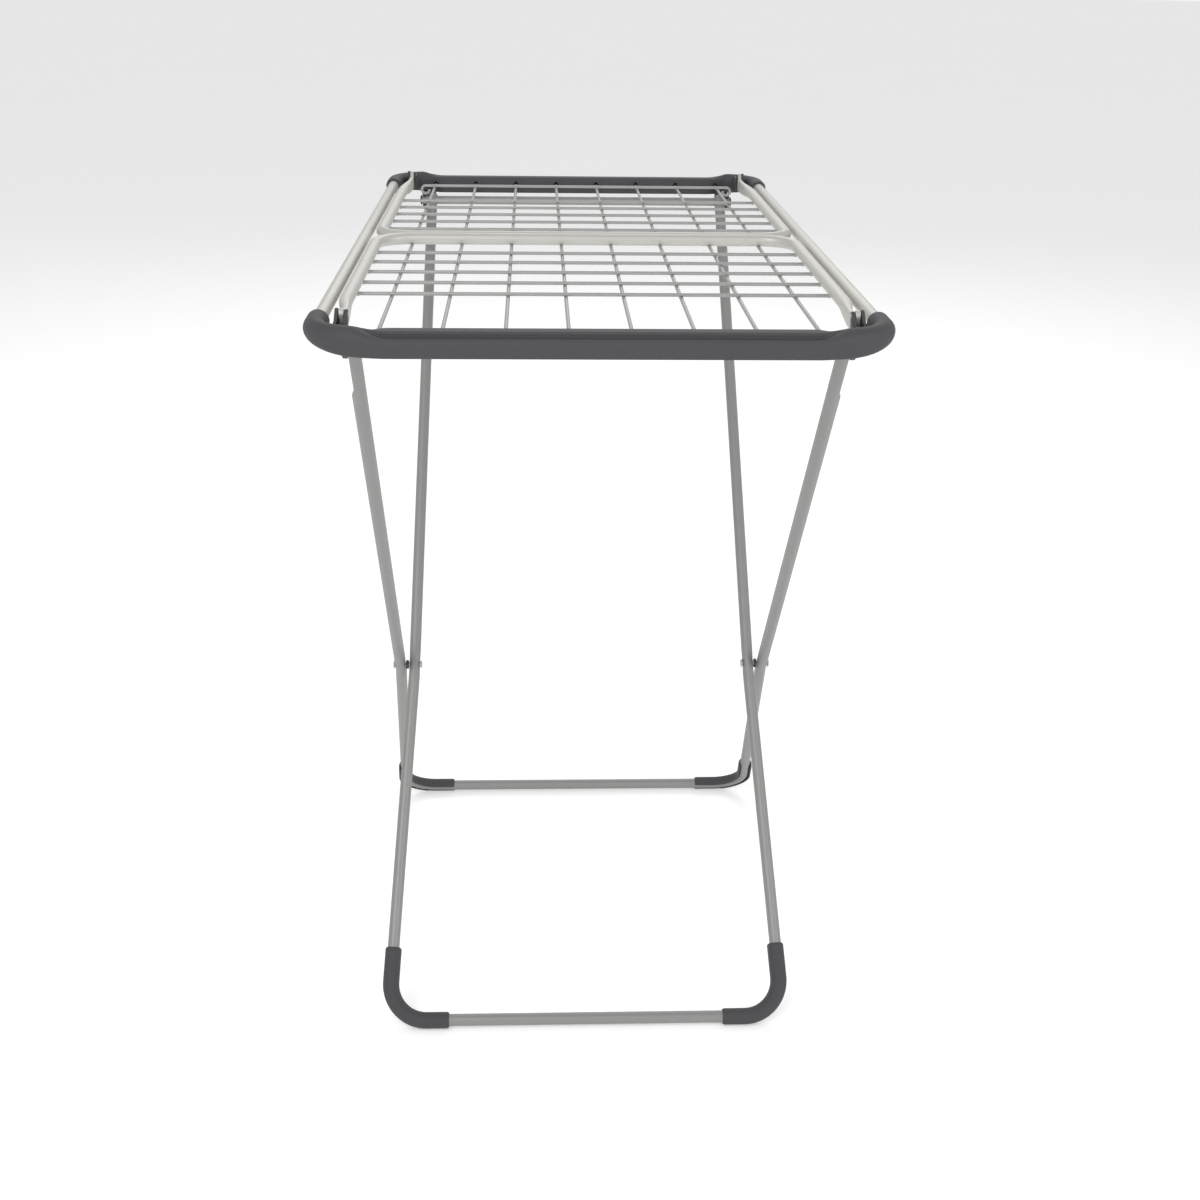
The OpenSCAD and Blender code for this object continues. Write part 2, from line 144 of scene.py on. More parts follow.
class RackFinishes(PropertyGroup):
    """Colours of the rack's five finishes."""

    plastic: colour("Plastic", "Charcoal moulded plastic", (0.021, 0.021, 0.023))
    rail: colour("Rails and wings", "Warm silver-grey paint", (0.37, 0.358, 0.338))
    wire: colour("Wires", "Grey wire coating", (0.33, 0.33, 0.322))
    leg: colour("Legs", "Mid grey metallic paint", (0.25, 0.25, 0.25))
    rivet: colour("Rivets", "Bare steel of rivets and pins", (0.42, 0.42, 0.42))


class RackMouldings(PropertyGroup):
    """Sizes of the two moulded ends, in millimetres."""

    depth: length("Depth", "Depth of the channel along the rack", 30.0)
    low_edge: length("Lower edge", "How far the channel hangs below the rail centres", 17.0)
    strip_rise: length("Strip height", "How far the inner strip stands above the rail centres", 6.0)
    band_rise: length("Band height", "How far the outer band stands above the rail centres", 0.5)
    band_setback: length("Band width", "Width of the step on top of the outer band", 12.0)
    wall: length("Wall", "Wall of the channel", 2.6)
    collar_radius: length("Collar radius", "Radius of the collar round a side tube", 11.0)
    collar_length: length("Collar length", "Length of the collar before the corner", 26.0)
    corner_radius: length("Corner radius", "Bend radius of the corner's centre line", 49.0)
    fade_start: length("Fade start", "Half width where the round corner starts to flatten", 232.0)
    fade_end: length("Fade end", "Half width where the flat band is complete", 198.0)
    cheek: length("Cheek", "Thickness of the cheeks that hold a wing", 3.2)


class RackWires(PropertyGroup):
    """Wires of the table and of the wings."""

    count: IntProperty(name="Long wires", description="Number of long wires", default=8, min=2, max=12)
    wing_count: IntProperty(name="Wing wires", description="Wires on each wing", default=5, min=2, max=8)
    weld: length("Weld", "Radius of a weld bead", 2.9)


class RackWings(PropertyGroup):
    """Sizes of the folding wings, in millimetres."""

    corner_radius: length("Corner radius", "Bend radius of the wing's corners", 40.0)
    blade_thickness: length("Blade thickness", "Thickness of the flattened tube end", 5.0)
    blade_height: length("Blade height", "Height of the flattened tube end", 17.0)
    blade_run: length("Blade length", "Length of the flat end before the pin", 26.0)
    taper: length("Taper", "Length over which the tube flattens", 88.0)


class RackLegs(PropertyGroup):
    """Sizes of the crossing legs, in millimetres."""

    radius: length("Tube radius", "Radius of the leg tubes", 7.5)
    foot_z: length("Foot bar height", "Height of the foot bars' centre line", 10.0)
    foot_reach: length("Foot reach", "Distance of a foot bar from the rack's middle", 302.0)
    outer_top: length("Outer top", "Half width of the outer legs at the top", 235.0)
    outer_pivot: length("Outer pivot", "Half width of the outer legs at the pivot", 244.0)
    outer_foot: length("Outer foot", "Half width of the outer legs at the foot", 270.0)
    inner_top: length("Inner top", "Half width of the inner legs at the top", 214.0)
    inner_pivot: length("Inner pivot", "Half width of the inner legs at the pivot", 225.0)
    inner_foot: length("Inner foot", "Half width of the inner legs at the foot", 249.0)
    foot_bend: length("Foot bend", "Bend radius at the foot corners", 46.0)
    crush_run: length("Crushed length", "Length of the flattened top of an outer leg", 72.0)


class RackFeet(PropertyGroup):
    """Sizes of the plastic foot clips, in millimetres."""

    wall: length("Wall", "Wall of a clip", 2.6)
    bar_run: length("Bar run", "Length of a clip along the foot bar", 28.0)
    leg_run: length("Leg run", "Length of a clip up the leg", 42.0)
    chamfer: length("Chamfer", "Chamfer at the ends of a clip", 1.2)


class RackStage(PropertyGroup):
    """Floor, lights and camera. Places are in metres."""

    floor: colour("Floor", "Pale studio floor", (0.9, 0.9, 0.9))
    lens: FloatProperty(name="Lens", description="Focal length on a 36 mm sensor", default=48.0, min=10.0)
    camera: FloatVectorProperty(
        name="Camera", description="Place of the camera", default=(-0.0625, -1.9644, 1.2705), subtype="XYZ"
    )
    pitch: FloatProperty(name="Pitch", description="Degrees below level", default=22.5)
    yaw: FloatProperty(name="Yaw", description="Degrees towards +X", default=2.5)
    roll: FloatProperty(name="Roll", description="Degrees of roll", default=-0.8)
    sky: FloatProperty(name="Sky", description="Strength of the overhead light", default=0.55, min=0.0)


# ---- Surfaces ----------------------------------------------------------------------------------------------


def unit(v):
    """Vectors scaled to length one."""
    return v / np.linalg.norm(v, axis=-1, keepdims=True)


def smooth(t):
    """Eased step: 0 below 0, 1 above 1, and 3t^2 - 2t^3 between."""
    t = np.clip(t, 0.0, 1.0)
    return t * t * (3 - 2 * t)


def ring(width, height=None, sides=28, power=2.0):
    """Closed section, a superellipse: |x / width|^power + |y / height|^power = 1, counter-clockwise. Columns
    of sizes give one section for each row."""
    height = width if height is None else height
    angle = np.linspace(0, 2 * math.pi, sides, endpoint=False)
    c, s = np.cos(angle), np.sin(angle)
    across = np.sign(c) * np.abs(c) ** (2 / power)
    up = np.sign(s) * np.abs(s) ** (2 / power)
    return np.stack(np.broadcast_arrays(width * across, height * up), -1)


def arc(centre, radius, first, last, steps):
    """Points on a circle from one angle to another, in degrees."""
    angle = np.radians(np.linspace(first, last, steps + 1))[:, None]
    return np.asarray(centre, float) + radius * np.hstack([np.cos(angle), np.sin(angle)])


def bent_path(corners, radii, steps=12):
    """Straight runs joined by arcs. An arc starts radius * tan(turn / 2) before its corner and follows
    radius * (sin t along the run, 1 - cos t towards the next run)."""
    corners = np.asarray(corners, float)
    runs = [corners[:1]]
    for before, corner, after, radius in zip(corners, corners[1:], corners[2:], radii):
        u, v = unit(corner - before), unit(after - corner)
        turn = math.acos(float(np.clip(u @ v, -1, 1)))
        aside = unit(v - u * (u @ v))
        t = np.linspace(0, turn, steps + 1)[:, None]
        start = corner - radius * math.tan(turn / 2) * u
        runs.append(start + radius * (np.sin(t) * u + (1 - np.cos(t)) * aside))
    runs.append(corners[-1:])
    return np.vstack(runs)


def spaced(path, spacing, near_ends=()):
    """The same path with points added, none further apart than the spacing, and some at given distances from
    each end. Also gives each point's distance along it."""
    along = np.r_[0, np.cumsum(np.linalg.norm(np.diff(path, axis=0), axis=1))]
    marks = np.union1d(along, np.linspace(0, along[-1], int(along[-1] / spacing) + 2))
    extra = np.asarray(near_ends, float)
    marks = np.union1d(marks, np.r_[extra, along[-1] - extra])
    marks = marks[np.r_[True, np.diff(marks) > SAME_POINT]]
    return np.stack([np.interp(marks, along, path[:, k]) for k in range(path.shape[1])], -1), marks


def carry(path, section, normal):
    """A section carried along a path in a plane: path + a * (normal x tangent) + b * normal for each section
    point (a, b). The section may differ from row to row."""
    step = unit(np.diff(path, axis=0))
    tangent = unit(np.vstack([step[:1], step[:-1] + step[1:], step[-1:]]))
    normal = np.broadcast_to(unit(np.asarray(normal, float)), path.shape)
    across = np.cross(normal, tangent)
    section = np.broadcast_to(section, (len(path),) + section.shape[-2:])
    return path[:, None] + section[..., :1] * across[:, None] + section[..., 1:] * normal[:, None]


def turned(profile, centre, sides=32):
    """A profile of (distance, radius) turned about an axis along X: centre + (d, r cos t, r sin t)."""
    profile = np.asarray(profile, float)
    angle = np.linspace(0, 2 * math.pi, sides, endpoint=False)
    d = np.broadcast_to(profile[:, :1], (len(profile), sides))
    return np.stack([d, profile[:, 1:] * np.cos(angle), profile[:, 1:] * np.sin(angle)], -1) + centre


def inset(outline, amount):
    """A counter-clockwise outline moved inwards, each point along the mean of its two edges' normals."""
    edge = unit(np.roll(outline, -1, axis=0) - outline)
    inward = np.stack([-edge[:, 1], edge[:, 0]], -1)
    return outline + amount * unit(inward + np.roll(inward, 1, axis=0))


def plate(outline, low, high, edge):
    """A flat part on the outline (y, z) from x low to x high, its rims quarter circles of insets."""
    t = np.radians([0, 30, 60, 90])
    rise, drawn_in = edge * (1 - np.cos(t)), edge * (1 - np.sin(t))
    depth = np.r_[low + rise, (high - rise)[::-1]]
    shrink = np.r_[drawn_in, drawn_in[::-1]]
    rows = [np.column_stack([np.full(len(outline), d), inset(outline, s)]) for d, s in zip(depth, shrink)]
    return np.stack(rows)


class Skin:
    """Point grids gathered into one mesh. A grid's rows follow a path and its columns run round a section."""

    def __init__(self):
        self.points, self.quads, self.fans, self.count = [], [], [], 0

    def take(self, points):
        index = self.count + np.arange(len(points))
        self.points.append(points)
        self.count += len(points)
        return index

    def add(self, grid, ends="fan"):
        """Adds a grid. Its ends close with a fan to the middle, or with a strip between two skins."""
        index = self.take(grid.reshape(-1, 3)).reshape(grid.shape[:2])
        beside = np.roll(index, -1, axis=1)
        self.quads.append(np.stack([index[:-1], beside[:-1], beside[1:], index[1:]], -1).reshape(-1, 4))
        for row, turn in ((0, -1), (-1, 1)):
            if ends == "fan":
                hub = np.broadcast_to(self.take(grid[row].mean(0)[None]), index.shape[1])
                self.fans.append(np.stack([index[row], beside[row], hub], -1)[:, ::turn])
            else:
                half = index.shape[1] // 2
                there, back = index[row][:half], index[row][half:][::-1]
                strip = np.stack([there[:-1], there[1:], back[1:], back[:-1]], -1)
                self.quads.append(strip[:, ::turn])
        return self

    def mirrored(self, axis):
        """The skin seen in a mirror across an axis, with its faces turned outwards again."""
        flip = np.ones(3)
        flip[axis] = -1
        twin = Skin()
        twin.points, twin.count = [p * flip for p in self.points], self.count
        twin.quads = [q[:, ::-1] for q in self.quads]
        twin.fans = [f[:, ::-1] for f in self.fans]
        return twin

    def placed(self, side, end=1):
        """A skin drawn for the +X side and the +Y end, mirrored to the side and end asked for."""
        skin = self.mirrored(0) if side < 0 else self
        return skin.mirrored(1) if end < 0 else skin

    def join(self, other):
        self.quads += [q + self.count for q in other.quads]
        self.fans += [f + self.count for f in other.fans]
        self.points += other.points
        self.count += other.count
        return self

    def both_sides(self):
        """The skin and its mirror image across the rack's middle."""
        return self.join(self.mirrored(0))

    def mesh(self, name, crease):
        """A mesh of the gathered faces, smooth where two faces meet at less than the crease angle."""
        points = np.concatenate(self.points) * MM
        quads = np.concatenate(self.quads)
        fans = np.concatenate(self.fans) if self.fans else np.zeros((0, 3), int)
        sizes = np.r_[np.full(len(quads), 4), np.full(len(fans), 3)]
        mesh = bpy.data.meshes.new(name)
        mesh.vertices.add(len(points))
        mesh.vertices.foreach_set("co", points.astype(np.float32).ravel())
        mesh.loops.add(int(sizes.sum()))
        mesh.loops.foreach_set("vertex_index", np.r_[quads.ravel(), fans.ravel()].astype(np.int32))
        mesh.polygons.add(len(sizes))
        mesh.polygons.foreach_set("loop_start", np.r_[0, np.cumsum(sizes)[:-1]].astype(np.int32))
        mesh.update(calc_edges=True)
        mesh.polygons.foreach_set("use_smooth", np.ones(len(sizes), bool))
        mesh.set_sharp_from_angle(angle=math.radians(crease))
        return mesh


def fit_piece(name, skin, finish, body, nodes, crease=38):
    """Makes a skin a piece that rides on a body and stands for nodes of the frame. Its finish is looked up by
    name. The frame has flat materials named as five of the finishes are, and the look-up finds those."""
    mesh = skin.mesh(name, crease)
    mesh.materials.append(bpy.data.materials[finish])
    piece = bpy.data.objects.new(name, mesh)
    bpy.context.scene.collection.objects.link(piece)
    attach(piece, body)
    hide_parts(*nodes)
    return piece


# ---- Finishes ----------------------------------------------------------------------------------------------


class Wire:
    """An output of a shader node. Arithmetic on it adds Math nodes."""

    def __init__(self, finish, socket):
        self.finish, self.socket = finish, socket

    def math(self, operation, first, second):
        return self.finish.node("Math", {"operation": operation}, {0: first, 1: second})

    def __add__(self, other):
        return self.math("ADD", self, other)

    def __sub__(self, other):
        return self.math("SUBTRACT", self, other)

    def __rsub__(self, other):
        return self.math("SUBTRACT", other, self)

    def __mul__(self, other):
        return self.math("MULTIPLY", self, other)

    __radd__ = __add__
    __rmul__ = __mul__

    def power(self, exponent):
        return self.math("POWER", self, exponent)


class Finish:
    """A procedural material being written, with a Principled shader at its end."""

    def __init__(self, name):
        self.material = bpy.data.materials.new(name)
        self.material.use_nodes = True
        self.tree = self.material.node_tree
        self.shader = self.tree.nodes["Principled BSDF"]
        self.place = self.node("TexCoord", output="Object")

    def node(self, kind, settings=None, values=None, output=0):
        """Any shader node: its settings are set first, then each input takes a value or a link."""
        made = self.tree.nodes.new("ShaderNode" + kind)
        for key, value in (settings or {}).items():
            setattr(made, key, value)
        for key, value in (values or {}).items():
            self.feed(made.inputs[key], value)
        return Wire(self, made.outputs[output])

    def feed(self, socket, value):
        if isinstance(value, Wire):
            self.tree.links.new(value.socket, socket)
        else:
            socket.default_value = value

    def noise(self, scale, detail=2.0, roughness=0.5, stretch=(1, 1, 1)):
        """Cloudy noise about 0.5, its scale in features per metre."""
        spread = self.node("Mapping", {}, {"Vector": self.place, "Scale": stretch})
        values = {"Vector": spread, "Scale": scale, "Detail": detail, "Roughness": roughness}
        return self.node("TexNoise", {}, values)

    def blend(self, factor, first, second):
        """Colour between two colours."""
        return self.node("Mix", {"data_type": "RGBA"}, {0: factor, 6: first, 7: second}, output=2)

    def relief(self, height, depth):
        """Normal of a height from 0 to 1, its depth in metres."""
        return self.node("Bump", {}, {"Strength": 1.0, "Distance": depth, "Height": height})

    def shade(self, **inputs):
        """Sets the shader's inputs. An underscore in a name stands for a space."""
        for key, value in inputs.items():
            self.feed(self.shader.inputs[key.replace("_", " ")], value)


def tone(colour, factor):
    """A colour made lighter or darker, with an alpha of one."""
    return tuple(min(1.0, c * factor) for c in colour) + (1.0,)


def moulded_plastic(name, colour):
    """Satin moulded plastic: a spark-eroded grain, faint flow marks and rubbed patches that shine more."""
    f = Finish(name)
    flow = f.noise(9.0, 3.0, 0.55, (1, 0.4, 2.5))
    rubbed = f.noise(45.0, 4.0, 0.6).power(2.0)
    grain = f.noise(1900.0, 1.0)
    f.shade(
        Base_Color=f.blend(flow, tone(colour, 0.82), tone(colour, 1.22)),
        Roughness=0.44 - rubbed * 0.3 + grain * 0.05,
        Specular_IOR_Level=0.5,
        Normal=f.relief(grain * 0.5 + flow * 0.5, 0.00006),
    )
    return f.material


def metallic_paint(name, colour, metal, gloss, peel=0.00005, cloud=0.06):
    """Silver-grey paint on steel: fine flakes, a slight orange peel and faint clouding."""
    f = Finish(name)
    clouds = f.noise(14.0, 3.0)
    flakes = f.noise(3200.0, 1.0)
    skin = f.noise(420.0, 2.0)
    base = f.blend(clouds, tone(colour, 1 - cloud), tone(colour, 1 + cloud))
    sparkle = f.blend(flakes, tone(colour, 0.8), tone(colour, 1.2))
    f.shade(
        Base_Color=f.blend(0.35, base, sparkle),
        Metallic=metal,
        Roughness=gloss + flakes * 0.08 + clouds * 0.06,
        Coat_Weight=0.12,
        Coat_Roughness=0.2,
        Normal=f.relief(skin, peel),
    )
    return f.material


def bare_steel(name, colour):
    """Turned steel: fine rings about the pins' axes, and a dull film in patches."""
    f = Finish(name)
    rings = f.noise(2600.0, 1.0, 0.5, (1, 0.15, 0.15))
    film = f.noise(160.0, 3.0, 0.6)
    f.shade(
        Base_Color=f.blend(film, tone(colour, 0.75), tone(colour, 1.2)),
        Metallic=1.0,
        Roughness=0.24 + film * 0.22,
        Normal=f.relief(rings, 0.00002),
    )
    return f.material


def shadowed_hole(name):
    """Painted shade: a near-black finish that stands in for the shadowed inside of a wire socket in the
    plastic.
    """
    f = Finish(name)
    dust = f.noise(600.0, 2.0)
    f.shade(
        # painted shade: the base colour is near-black where a socket's inside would lie in shadow
        Base_Color=f.blend(dust, (0.002, 0.002, 0.002, 1), (0.008, 0.008, 0.008, 1)),
        Roughness=0.85 + dust * 0.1,
        Specular_IOR_Level=0.1,
    )
    return f.material


class RACK_OT_finishes(Operator):
    """Writes the finishes of the rack"""

    bl_idname = "rack.finishes"
    bl_label = "Finishes"

    def execute(self, context):
        finishes = context.scene.rack_finishes
        moulded_plastic("charcoal_plastic", finishes.plastic)
        metallic_paint("rail_paint", finishes.rail, 0.35, 0.34)
        metallic_paint("wire_coat", finishes.wire, 0.85, 0.2, peel=0.00002)
        metallic_paint("leg_paint", finishes.leg, 0.65, 0.3)
        bare_steel("rivet_steel", finishes.rivet)
        shadowed_hole("socket_shadow")
        return {"FINISHED"}


# ---- End mouldings -----------------------------------------------------------------------------------------


def channel_outline(sizes):
    """Keys of the channel's section and the angle that each has on the round collar. Columns: towards the
    rack's middle, up, angle in degrees. The outer skin comes first, then the hollow's."""
    inner, outer = sizes.depth - sizes.collar_radius, -sizes.collar_radius
    low, top, band = -sizes.low_edge, sizes.strip_rise, sizes.band_rise
    step, wall = sizes.band_setback - sizes.collar_radius, sizes.wall
    return np.array(
        [
            (inner - 0.7, low, -78),
            (inner, low + 0.8, -66),
            (inner, top - 2.2, -8),
            (inner - 0.7, top - 0.6, 4),
            (inner - 2.2, top, 12),
            (step + 2.0, top, 60),
            (step + 0.6, top - 0.6, 68),
            (step, top - 2.0, 76),
            (step, band + 1.2, 88),
            (step - 0.4, band + 0.3, 94),
            (step - 1.4, band, 100),
            (outer + 3.2, band, 128),
            (outer + 1.2, band - 0.9, 142),
            (outer, band - 3.0, 156),
            (outer, low + 3.2, 214),
            (outer + 0.9, low + 1.0, 232),
            (outer + wall - 0.4, low, 252),
            (outer + wall, low + 0.6, 254),
            (outer + wall, band - wall - 1.0, 259),
            (step - wall + 1.0, band - wall, 265),
            (step - wall + 1.4, top - wall, 270),
            (inner - wall, top - wall, 276),
            (inner - wall, low + 0.6, 281),
        ]
    )


def moulding_section(sizes, fade, square):
    """Sections along the moulding. Round: radius * (cos t, sin t). Squared: its lower half is stretched down
    to the channel's edge as a superellipse. Channel: the outline itself. The two numbers blend them."""
    keys = channel_outline(sizes)
    closed = np.vstack([keys, keys[:1] + [0, 0, 360]])
    place = np.arange(len(closed))
    fine = np.linspace(0, len(keys), 4 * len(keys), endpoint=False)
    channel = np.stack([np.interp(fine, place, closed[:, k]) for k in (0, 1)], -1)
    angle = np.radians(np.interp(fine, place, closed[:, 2]))
    r = sizes.collar_radius
    c, s = np.cos(angle), np.sin(angle)
    circle = np.stack([r * c, r * s], -1)
    below = s < 0
    lower = np.stack([r * np.sign(c) * np.abs(c) ** 0.5, -sizes.low_edge * np.abs(s) ** 0.62], -1)
    squared = np.where(below[:, None], lower, circle)
    square, fade = square[:, None, None], fade[:, None, None]
    return (1 - fade) * ((1 - square) * circle + square * squared) + fade * channel


def moulding_body(sizes):
    """The C-shaped moulding for the +Y end: the section carried round from one collar to the other."""
    radius = sizes.corner_radius
    bend_y = HALF_LENGTH - radius - sizes.collar_radius
    start, middle = bend_y - sizes.collar_length, bend_y + radius
    corners = [(SIDE_X, start), (SIDE_X, middle), (-SIDE_X, middle), (-SIDE_X, start)]
    path = bent_path([(x, y, RAIL_Z) for x, y in corners], [radius, radius], steps=44)
    path, along = spaced(path, 3.0)
    turn = np.pi * radius / 2
    square = smooth((np.minimum(along, along[-1] - along) - sizes.collar_length) / turn)
    fade = smooth((sizes.fade_start - np.abs(path[:, 0])) / (sizes.fade_start - sizes.fade_end))
    lip = smooth(np.minimum(along, along[-1] - along) / 1.2)
    section = moulding_section(sizes, fade, square) * (0.93 + 0.07 * lip)[:, None, None]
    return Skin().add(carry(path, section, (0, 0, 1)))


def wing_brackets(sizes):
    """The two cheeks either side of a wing's blade, at the +X side of the +Y end."""
    root, low = HALF_LENGTH - ROOT_DEPTH, RAIL_Z - sizes.low_edge + 7
    pin = WING_PIN[1:]
    gap = (WING_PIN_HIGH[0] - WING_PIN_LOW[0]) / 2 - sizes.cheek
    centre = (WING_PIN_HIGH[0] + WING_PIN_LOW[0]) / 2
    skin = Skin()
    for x, nose in ((centre - gap - sizes.cheek, 4.2), (centre + gap, 5.5)):
        outline = np.vstack(
            [
                [(pin[0] + 4, low), (root, low + 1), (root, RAIL_Z + 5), (pin[0] + 16, RAIL_Z + 7)],
                arc(pin, nose, 60, 215, 8),
            ]
        )
        skin.add(plate(outline, x, x + sizes.cheek, 0.7))
    return skin


def wire_columns(wires):
    """Where the long wires lie across the rack."""
    return np.linspace(WIRES_LOW[0] + WIRE_R, WIRES_HIGH[0] - WIRE_R, wires.count)


def wire_sockets(columns, y):
    """Oval rims that stick out of the inner wall round the wires, and near-black discs inside them, painted
    shade for the sockets' dark insides.
    """
    rims, hole_shades = Skin(), Skin()
    circle = arc((0, 0), 1.0, -90, 270, 28)[:-1]
    oval = np.column_stack([circle[:, 0], np.zeros(len(circle)), circle[:, 1]]) * SOCKET_RADII
    rim_rows = [(1.0, 0.6), (1.0, -0.6), (0.9, -0.8), (0.78, -0.6), (0.78, 0.4)]
    # painted shade: these discs sit just inside each rim and are given the near-black socket_shadow finish
    shade_rows = [(0.8, 0.3), (0.79, 0.05)]
    for x in columns:
        centre = np.array([x, y - 0.2, WIRE_Z + SOCKET_LIFT])
        for skin, rows in ((rims, rim_rows), (hole_shades, shade_rows)):
            grid = np.stack([centre + oval * (size, 1, size) + (0, off, 0) for size, off in rows])
            skin.add(grid[:, ::-1])
    return rims, hole_shades


def hinge_lugs(sizes, x0, x1):
    """Lug that carries an outer leg's top hinge, drawn for the +Y end."""
    root, low = HALF_LENGTH - ROOT_DEPTH, RAIL_Z - sizes.low_edge
    pin = (-LEG_PIN[1], LEG_PIN[2])
    outline = np.vstack([[(root, low + 8), (root, low + 20)], arc(pin, LUG_RADIUS, 100, 290, 14)])
    return Skin().add(plate(outline, x0, x1, 0.9))


def bar_hooks(sizes, bar, bar_radius):
    """Hook for the top bar: a strap round the bar, open towards the middle, with a root on the wall."""
    high_x = CAP_END - CAP_THICKNESS - 1
    low_x = high_x - HOOK_WIDTH
    inner = bar_radius + HOOK_CLEARANCE
    wall_y = HALF_LENGTH - sizes.depth + 1
    mid = inner + HOOK_STRAP / 2
    bow = arc(bar, mid, 90, -90, 16)
    flat = np.vstack([[(bar[0] - 3, bar[1] + mid)], bow, [(bar[0] - 3, bar[1] - mid)]])
    path = np.column_stack([np.full(len(flat), (low_x + high_x) / 2), flat])
    strap = carry(path, ring(HOOK_STRAP / 2, HOOK_WIDTH / 2, 20, 5.0), (-1, 0, 0))
    block = np.array([(bar[0] + inner, bar[1] - mid - 1.4), (wall_y, bar[1] - mid - 1.4)])
    block = np.vstack([block, [(wall_y, bar[1] + mid + 1.4), (bar[0] + inner, bar[1] + mid + 1.4)]])
    root = np.array([(wall_y - 9, RAIL_Z - sizes.low_edge - 8), (wall_y + 1, RAIL_Z - sizes.low_edge - 8)])
    root = np.vstack([root, [(wall_y + 1, bar[1] + mid + 1.4), (wall_y - 9, bar[1] + mid + 1.4)]])
    skin = Skin().add(strap)
    skin.add(plate(block, low_x, high_x, 0.6))
    return skin.add(plate(root, low_x - 12, high_x, 0.6))


class RACK_OT_mouldings(Operator):
    """Builds the two moulded ends with their wing brackets, hinge lugs and hooks"""

    bl_idname = "rack.mouldings"
    bl_label = "End mouldings"

    def execute(self, context):
        scene = context.scene
        sizes, wires = scene.rack_mouldings, scene.rack_wires
        columns = wire_columns(wires)
        bar = ((BAR_LOW + BAR_HIGH) / 2)[1:]
        bar_radius = (BAR_HIGH[2] - BAR_LOW[2]) / 2
        wall_y = HALF_LENGTH - sizes.depth
        for end in (-1, 1):
            skin = wing_brackets(sizes)
            if end < 0:
                skin.join(hinge_lugs(sizes, LEG_PIN_HIGH[0] - LUG_WIDTH, LEG_PIN_HIGH[0]))
            else:
                skin.join(bar_hooks(sizes, bar, bar_radius))
            skin.both_sides().join(moulding_body(sizes))
            rims, hole_shades = wire_sockets(columns, wall_y)
            skin.join(rims)
            skin, hole_shades = skin.placed(1, end), hole_shades.placed(1, end)
            name = END_NAMES[end] + "_end_moulding"
            fit_piece(name + "_shell", skin, "charcoal_plastic", "table", [name])
            # painted shade: near-black discs in the sockets, standing in for their shadowed insides
            hole_shade = fit_piece(END_NAMES[end] + "_wire_socket_shade", hole_shades, "socket_shadow", "table", [])
        return {"FINISHED"}


# ---- Table -------------------------------------------------------------------------------------------------


def straight(start, end, radius, sides=20, edge=0.4):
    """Round bar between two points, its ends rounded by three shrinking rings."""
    start, end = np.asarray(start, float), np.asarray(end, float)
    way = unit(end - start)
    t = np.radians([0, 35, 65, 90])
    off, size = edge * (1 - np.sin(t)), radius - edge * (1 - np.cos(t))
    path = np.vstack([start + off[::-1, None] * way, end - off[:, None] * way])
    scale = np.r_[size[::-1], size] / radius
    normal = (0, 0, 1) if abs(way[2]) < 0.5 else (0, 1, 0)
    return carry(path, ring(radius, sides=sides) * scale[:, None, None], normal)


def bead(centre, radii, sides=14, rows=7):
    """Ellipsoid: centre + radii * (cos u, sin u cos v, sin u sin v), its poles closed by fans."""
    u = np.linspace(0.16, math.pi - 0.16, rows)
    profile = np.stack([-np.cos(u), np.sin(u)], -1)
    return turned(profile, 0.0, sides) * np.asarray(radii, float) + np.asarray(centre, float)


class RACK_OT_rails(Operator):
    """Builds the two long side tubes"""

    bl_idname = "rack.rails"
    bl_label = "Side tubes"

    def execute(self, context):
        for side in (-1, 1):
            x = side * SIDE_X
            skin = Skin().add(straight((x, RAIL_LOW[1], RAIL_Z), (x, RAIL_HIGH[1], RAIL_Z), RAIL_R, 36))
            name = SIDE_NAMES[side] + "_side_tube"
            fit_piece(name + "_painted", skin, "rail_paint", "table", [name])
        return {"FINISHED"}


class RACK_OT_table_wires(Operator):
    """Builds the long wires, the far cross wire with its two eyes, and the welds between them"""

    bl_idname = "rack.table_wires"
    bl_label = "Table wires"

    def execute(self, context):
        wires = context.scene.rack_wires
        columns = wire_columns(wires)
        skin = Skin()
        for x in columns:
            skin.add(straight((x, WIRES_LOW[1], WIRE_Z), (x, WIRES_HIGH[1], WIRE_Z), WIRE_R, 16))
        fit_piece("long_wires_drawn", skin, "wire_coat", "table", ["long_wires"])

        y, z = (CROSS_LOW[1] + CROSS_HIGH[1]) / 2, CROSS_HIGH[2] - WIRE_R
        eye = (CROSS_HIGH[2] - CROSS_LOW[2]) / 2 - WIRE_R
        eye_x = CROSS_HIGH[0] - WIRE_R - eye
        curl = arc((eye_x, z - eye), eye, 90, -180, 30)
        flat = np.vstack([(curl * (-1, 1))[::-1], curl])
        path = np.column_stack([flat[:, 0], np.full(len(flat), y), flat[:, 1]])
        skin = Skin().add(carry(path, ring(WIRE_R, sides=16), (0, -1, 0)))
        for x in columns:
            skin.add(bead((x, y, z - WIRE_R), (wires.weld * 0.85, wires.weld * 0.85, 1.5)))
        fit_piece("far_cross_wire_drawn", skin, "wire_coat", "table", ["far_cross_wire"])
        return {"FINISHED"}


# ---- Wings -------------------------------------------------------------------------------------------------


